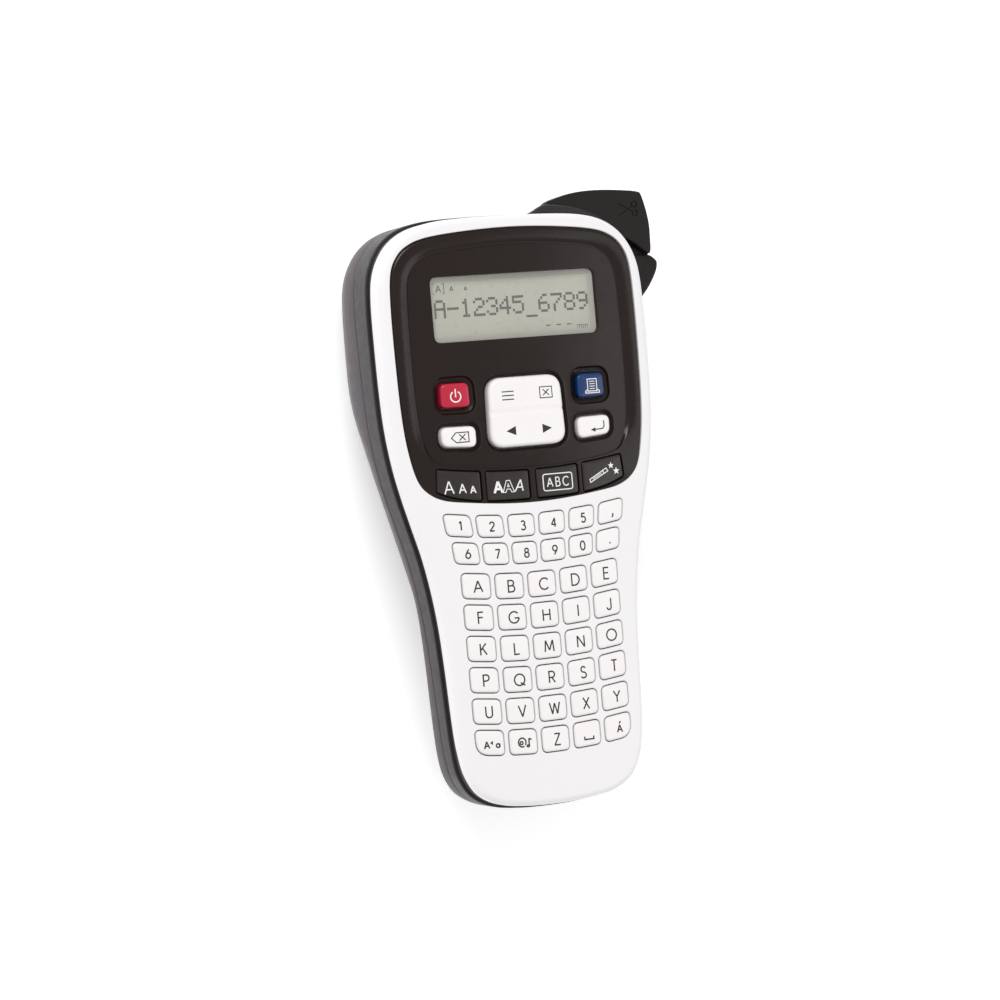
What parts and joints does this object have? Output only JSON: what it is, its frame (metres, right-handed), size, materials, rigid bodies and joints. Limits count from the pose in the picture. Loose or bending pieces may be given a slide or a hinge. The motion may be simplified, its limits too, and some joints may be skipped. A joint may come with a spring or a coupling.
{
  "type": "label maker",
  "caption": "Hand-held label maker with a white waisted keypad front, dark display panel, press-down cutter lever and lift-off back over tape cassette and batteries.",
  "frame": {"origin": "on the flat back of the tape compartment, on the centre line of the body, level with the lower edge of the display panel", "axes": "+X to the right, +Y towards the display end, +Z out of the keypad face"},
  "size_m": [0.1103, 0.2027, 0.0557],
  "materials": {
    "white_cover": "white moulded plastic, soft gloss",
    "white_keys": "white moulded keys, satin",
    "red_key": "crimson key, satin",
    "blue_key": "navy key, satin",
    "black_keys": "black keys, semi-gloss",
    "panel_gloss": "dark brown-black panel, semi-gloss",
    "clear_window": "clear window",
    "lcd": "grey-green liquid crystal panel",
    "light_plastic": "light frame",
    "flex_film": "amber flexible circuit",
    "silicone": "grey silicone",
    "circuit_board": "green board",
    "chip_black": "black moulding",
    "steel": "plain steel",
    "dark_case": "dark grey fine texture",
    "dark_lever": "black fine texture",
    "smoke_window": "smoked window",
    "cell_wrap": "battery sleeve",
    "inner_plastic": "dark inner moulding",
    "cassette_plastic": "dark cassette shell",
    "tape_white": "laminated white tape",
    "ribbon": "wound ink ribbon",
    "ceramic": "ceramic head",
    "heat_sink": "aluminium",
    "roller_rubber": "black rubber",
    "gear_plastic": "natural acetal",
    "motor_can": "zinc plated can",
    "brass": "turned brass",
    "blade_steel": "ground blade"
  },
  "bodies": {
    "case": {"front_cover": "white_cover", "display_panel": "panel_gloss", "display_window": "clear_window", "lcd_glass": "lcd", "lcd_frame": "light_plastic", "lcd_cable": "flex_film", "keypad_mat": "silicone", "main_board": "circuit_board", "board_chips": "chip_black", "board_screws": "steel", "rear_case": "dark_case", "case_screws": "steel", "battery_contacts": "steel", "batteries": "cell_wrap", "dc_jack": "chip_black", "cassette_tray": "inner_plastic", "cassette_base": "cassette_plastic", "cassette_lid": "cassette_plastic", "label_tape": "tape_white", "chassis_plate": "steel", "gear_pins": "steel", "print_head": "ceramic", "head_bracket": "heat_sink", "head_cable": "flex_film", "motor": "motor_can", "cutter_spring": "steel", "lever_pivot_pin": "steel", "tape_exit_guide": "dark_lever"},
    "back_lid": {"rear_cover": "dark_case", "cassette_window": "smoke_window"},
    "lever": {"cutter_lever": "dark_lever", "cutter_blade": "blade_steel"},
    "platen": {"platen_roller": "roller_rubber", "platen_shaft": "steel", "platen_gear": "gear_plastic"},
    "pinion": {"motor_pinion": "brass"},
    "reduction": {"reduction_gear": "gear_plastic"},
    "transfer": {"transfer_gear": "gear_plastic"},
    "spindle": {"ribbon_spindle": "gear_plastic", "ribbon_spool": "ribbon"},
    "roll": {"tape_roll": "tape_white"},
    "number_keys_upper_body": {"number_keys_upper": "white_keys"},
    "number_keys_lower_body": {"number_keys_lower": "white_keys"},
    "letter_keys_a_to_e_body": {"letter_keys_a_to_e": "white_keys"},
    "letter_keys_f_to_j_body": {"letter_keys_f_to_j": "white_keys"},
    "letter_keys_k_to_o_body": {"letter_keys_k_to_o": "white_keys"},
    "letter_keys_p_to_t_body": {"letter_keys_p_to_t": "white_keys"},
    "letter_keys_u_to_y_body": {"letter_keys_u_to_y": "white_keys"},
    "bottom_keys_body": {"bottom_keys": "white_keys"},
    "power_button_body": {"power_button": "red_key"},
    "print_button_body": {"print_button": "blue_key"},
    "backspace_button_body": {"backspace_button": "white_keys"},
    "enter_button_body": {"enter_button": "white_keys"},
    "navigation_pad_body": {"navigation_pad": "white_keys"},
    "size_key_body": {"size_key": "black_keys"},
    "style_key_body": {"style_key": "black_keys"},
    "frame_key_body": {"frame_key": "black_keys"},
    "decoration_key_body": {"decoration_key": "black_keys"}
  },
  "joints": [
    {"name": "number_keys_upper_press", "type": "slide", "parent": "case", "child": "number_keys_upper_body", "axis": [0, 0, -1], "range_m": [0, 0.0008], "stiffness_N_per_m": 1200, "springref_m": -0.0003},
    {"name": "number_keys_lower_press", "type": "slide", "parent": "case", "child": "number_keys_lower_body", "axis": [0, 0, -1], "range_m": [0, 0.0008], "stiffness_N_per_m": 1200, "springref_m": -0.0003},
    {"name": "letter_keys_a_to_e_press", "type": "slide", "parent": "case", "child": "letter_keys_a_to_e_body", "axis": [0, 0, -1], "range_m": [0, 0.0008], "stiffness_N_per_m": 1200, "springref_m": -0.0003},
    {"name": "letter_keys_f_to_j_press", "type": "slide", "parent": "case", "child": "letter_keys_f_to_j_body", "axis": [0, 0, -1], "range_m": [0, 0.0008], "stiffness_N_per_m": 1200, "springref_m": -0.0003},
    {"name": "letter_keys_k_to_o_press", "type": "slide", "parent": "case", "child": "letter_keys_k_to_o_body", "axis": [0, 0, -1], "range_m": [0, 0.0008], "stiffness_N_per_m": 1200, "springref_m": -0.0003},
    {"name": "letter_keys_p_to_t_press", "type": "slide", "parent": "case", "child": "letter_keys_p_to_t_body", "axis": [0, 0, -1], "range_m": [0, 0.0008], "stiffness_N_per_m": 1200, "springref_m": -0.0003},
    {"name": "letter_keys_u_to_y_press", "type": "slide", "parent": "case", "child": "letter_keys_u_to_y_body", "axis": [0, 0, -1], "range_m": [0, 0.0008], "stiffness_N_per_m": 1200, "springref_m": -0.0003},
    {"name": "bottom_keys_press", "type": "slide", "parent": "case", "child": "bottom_keys_body", "axis": [0, 0, -1], "range_m": [0, 0.0008], "stiffness_N_per_m": 1200, "springref_m": -0.0003},
    {"name": "power_button_press", "type": "slide", "parent": "case", "child": "power_button_body", "axis": [0, 0, -1], "range_m": [0, 0.0008], "stiffness_N_per_m": 1200, "springref_m": -0.0003},
    {"name": "print_button_press", "type": "slide", "parent": "case", "child": "print_button_body", "axis": [0, 0, -1], "range_m": [0, 0.0008], "stiffness_N_per_m": 1200, "springref_m": -0.0003},
    {"name": "backspace_button_press", "type": "slide", "parent": "case", "child": "backspace_button_body", "axis": [0, 0, -1], "range_m": [0, 0.0008], "stiffness_N_per_m": 1200, "springref_m": -0.0003},
    {"name": "enter_button_press", "type": "slide", "parent": "case", "child": "enter_button_body", "axis": [0, 0, -1], "range_m": [0, 0.0008], "stiffness_N_per_m": 1200, "springref_m": -0.0003},
    {"name": "navigation_pad_press", "type": "slide", "parent": "case", "child": "navigation_pad_body", "axis": [0, 0, -1], "range_m": [0, 0.0008], "stiffness_N_per_m": 1200, "springref_m": -0.0003},
    {"name": "size_key_press", "type": "slide", "parent": "case", "child": "size_key_body", "axis": [0, 0, -1], "range_m": [0, 0.0008], "stiffness_N_per_m": 1200, "springref_m": -0.0003},
    {"name": "style_key_press", "type": "slide", "parent": "case", "child": "style_key_body", "axis": [0, 0, -1], "range_m": [0, 0.0008], "stiffness_N_per_m": 1200, "springref_m": -0.0003},
    {"name": "frame_key_press", "type": "slide", "parent": "case", "child": "frame_key_body", "axis": [0, 0, -1], "range_m": [0, 0.0008], "stiffness_N_per_m": 1200, "springref_m": -0.0003},
    {"name": "decoration_key_press", "type": "slide", "parent": "case", "child": "decoration_key_body", "axis": [0, 0, -1], "range_m": [0, 0.0008], "stiffness_N_per_m": 1200, "springref_m": -0.0003},
    {"name": "cutter_lever_press", "type": "hinge", "parent": "case", "child": "lever", "pos_m": [0.014, 0.0899, 0.036], "axis": [0, 0, 1], "range_deg": [-9, 0], "stiffness_Nm_per_rad": 0.3, "springref_deg": 8.59},
    {"name": "back_lid_lift_off", "type": "slide", "parent": "case", "child": "back_lid", "axis": [0, 0, -1], "range_m": [0, 0.07]},
    {"name": "platen_spin", "type": "hinge", "parent": "case", "child": "platen", "pos_m": [0.018, 0.0767, 0.02], "axis": [0, 0, 1], "continuous": true},
    {"name": "transfer_gear_spin", "type": "hinge", "parent": "case", "child": "transfer", "pos_m": [0.0097, 0.05939, 0.02], "axis": [0, 0, 1], "continuous": true},
    {"name": "reduction_gear_spin", "type": "hinge", "parent": "case", "child": "reduction", "pos_m": [0.02487, 0.05373, 0.02], "axis": [0, 0, 1], "continuous": true},
    {"name": "motor_pinion_spin", "type": "hinge", "parent": "case", "child": "pinion", "pos_m": [0.028, 0.036, 0.02], "axis": [0, 0, 1], "continuous": true},
    {"name": "ribbon_spindle_spin", "type": "hinge", "parent": "case", "child": "spindle", "pos_m": [-0.01004, 0.05221, 0.02], "axis": [0, 0, 1], "continuous": true},
    {"name": "tape_roll_spin", "type": "hinge", "parent": "case", "child": "roll", "pos_m": [-0.022, 0.0665, 0.02], "axis": [0, 0, 1], "continuous": true}
  ],
  "couplings": [
    {"joint": "transfer_gear_spin", "follows": "platen_spin", "ratio": -0.6},
    {"joint": "reduction_gear_spin", "follows": "platen_spin", "ratio": 1.7143},
    {"joint": "motor_pinion_spin", "follows": "platen_spin", "ratio": -6.8571},
    {"joint": "ribbon_spindle_spin", "follows": "platen_spin", "ratio": 0.8},
    {"joint": "tape_roll_spin", "follows": "platen_spin", "ratio": 0.42969}
  ]
}
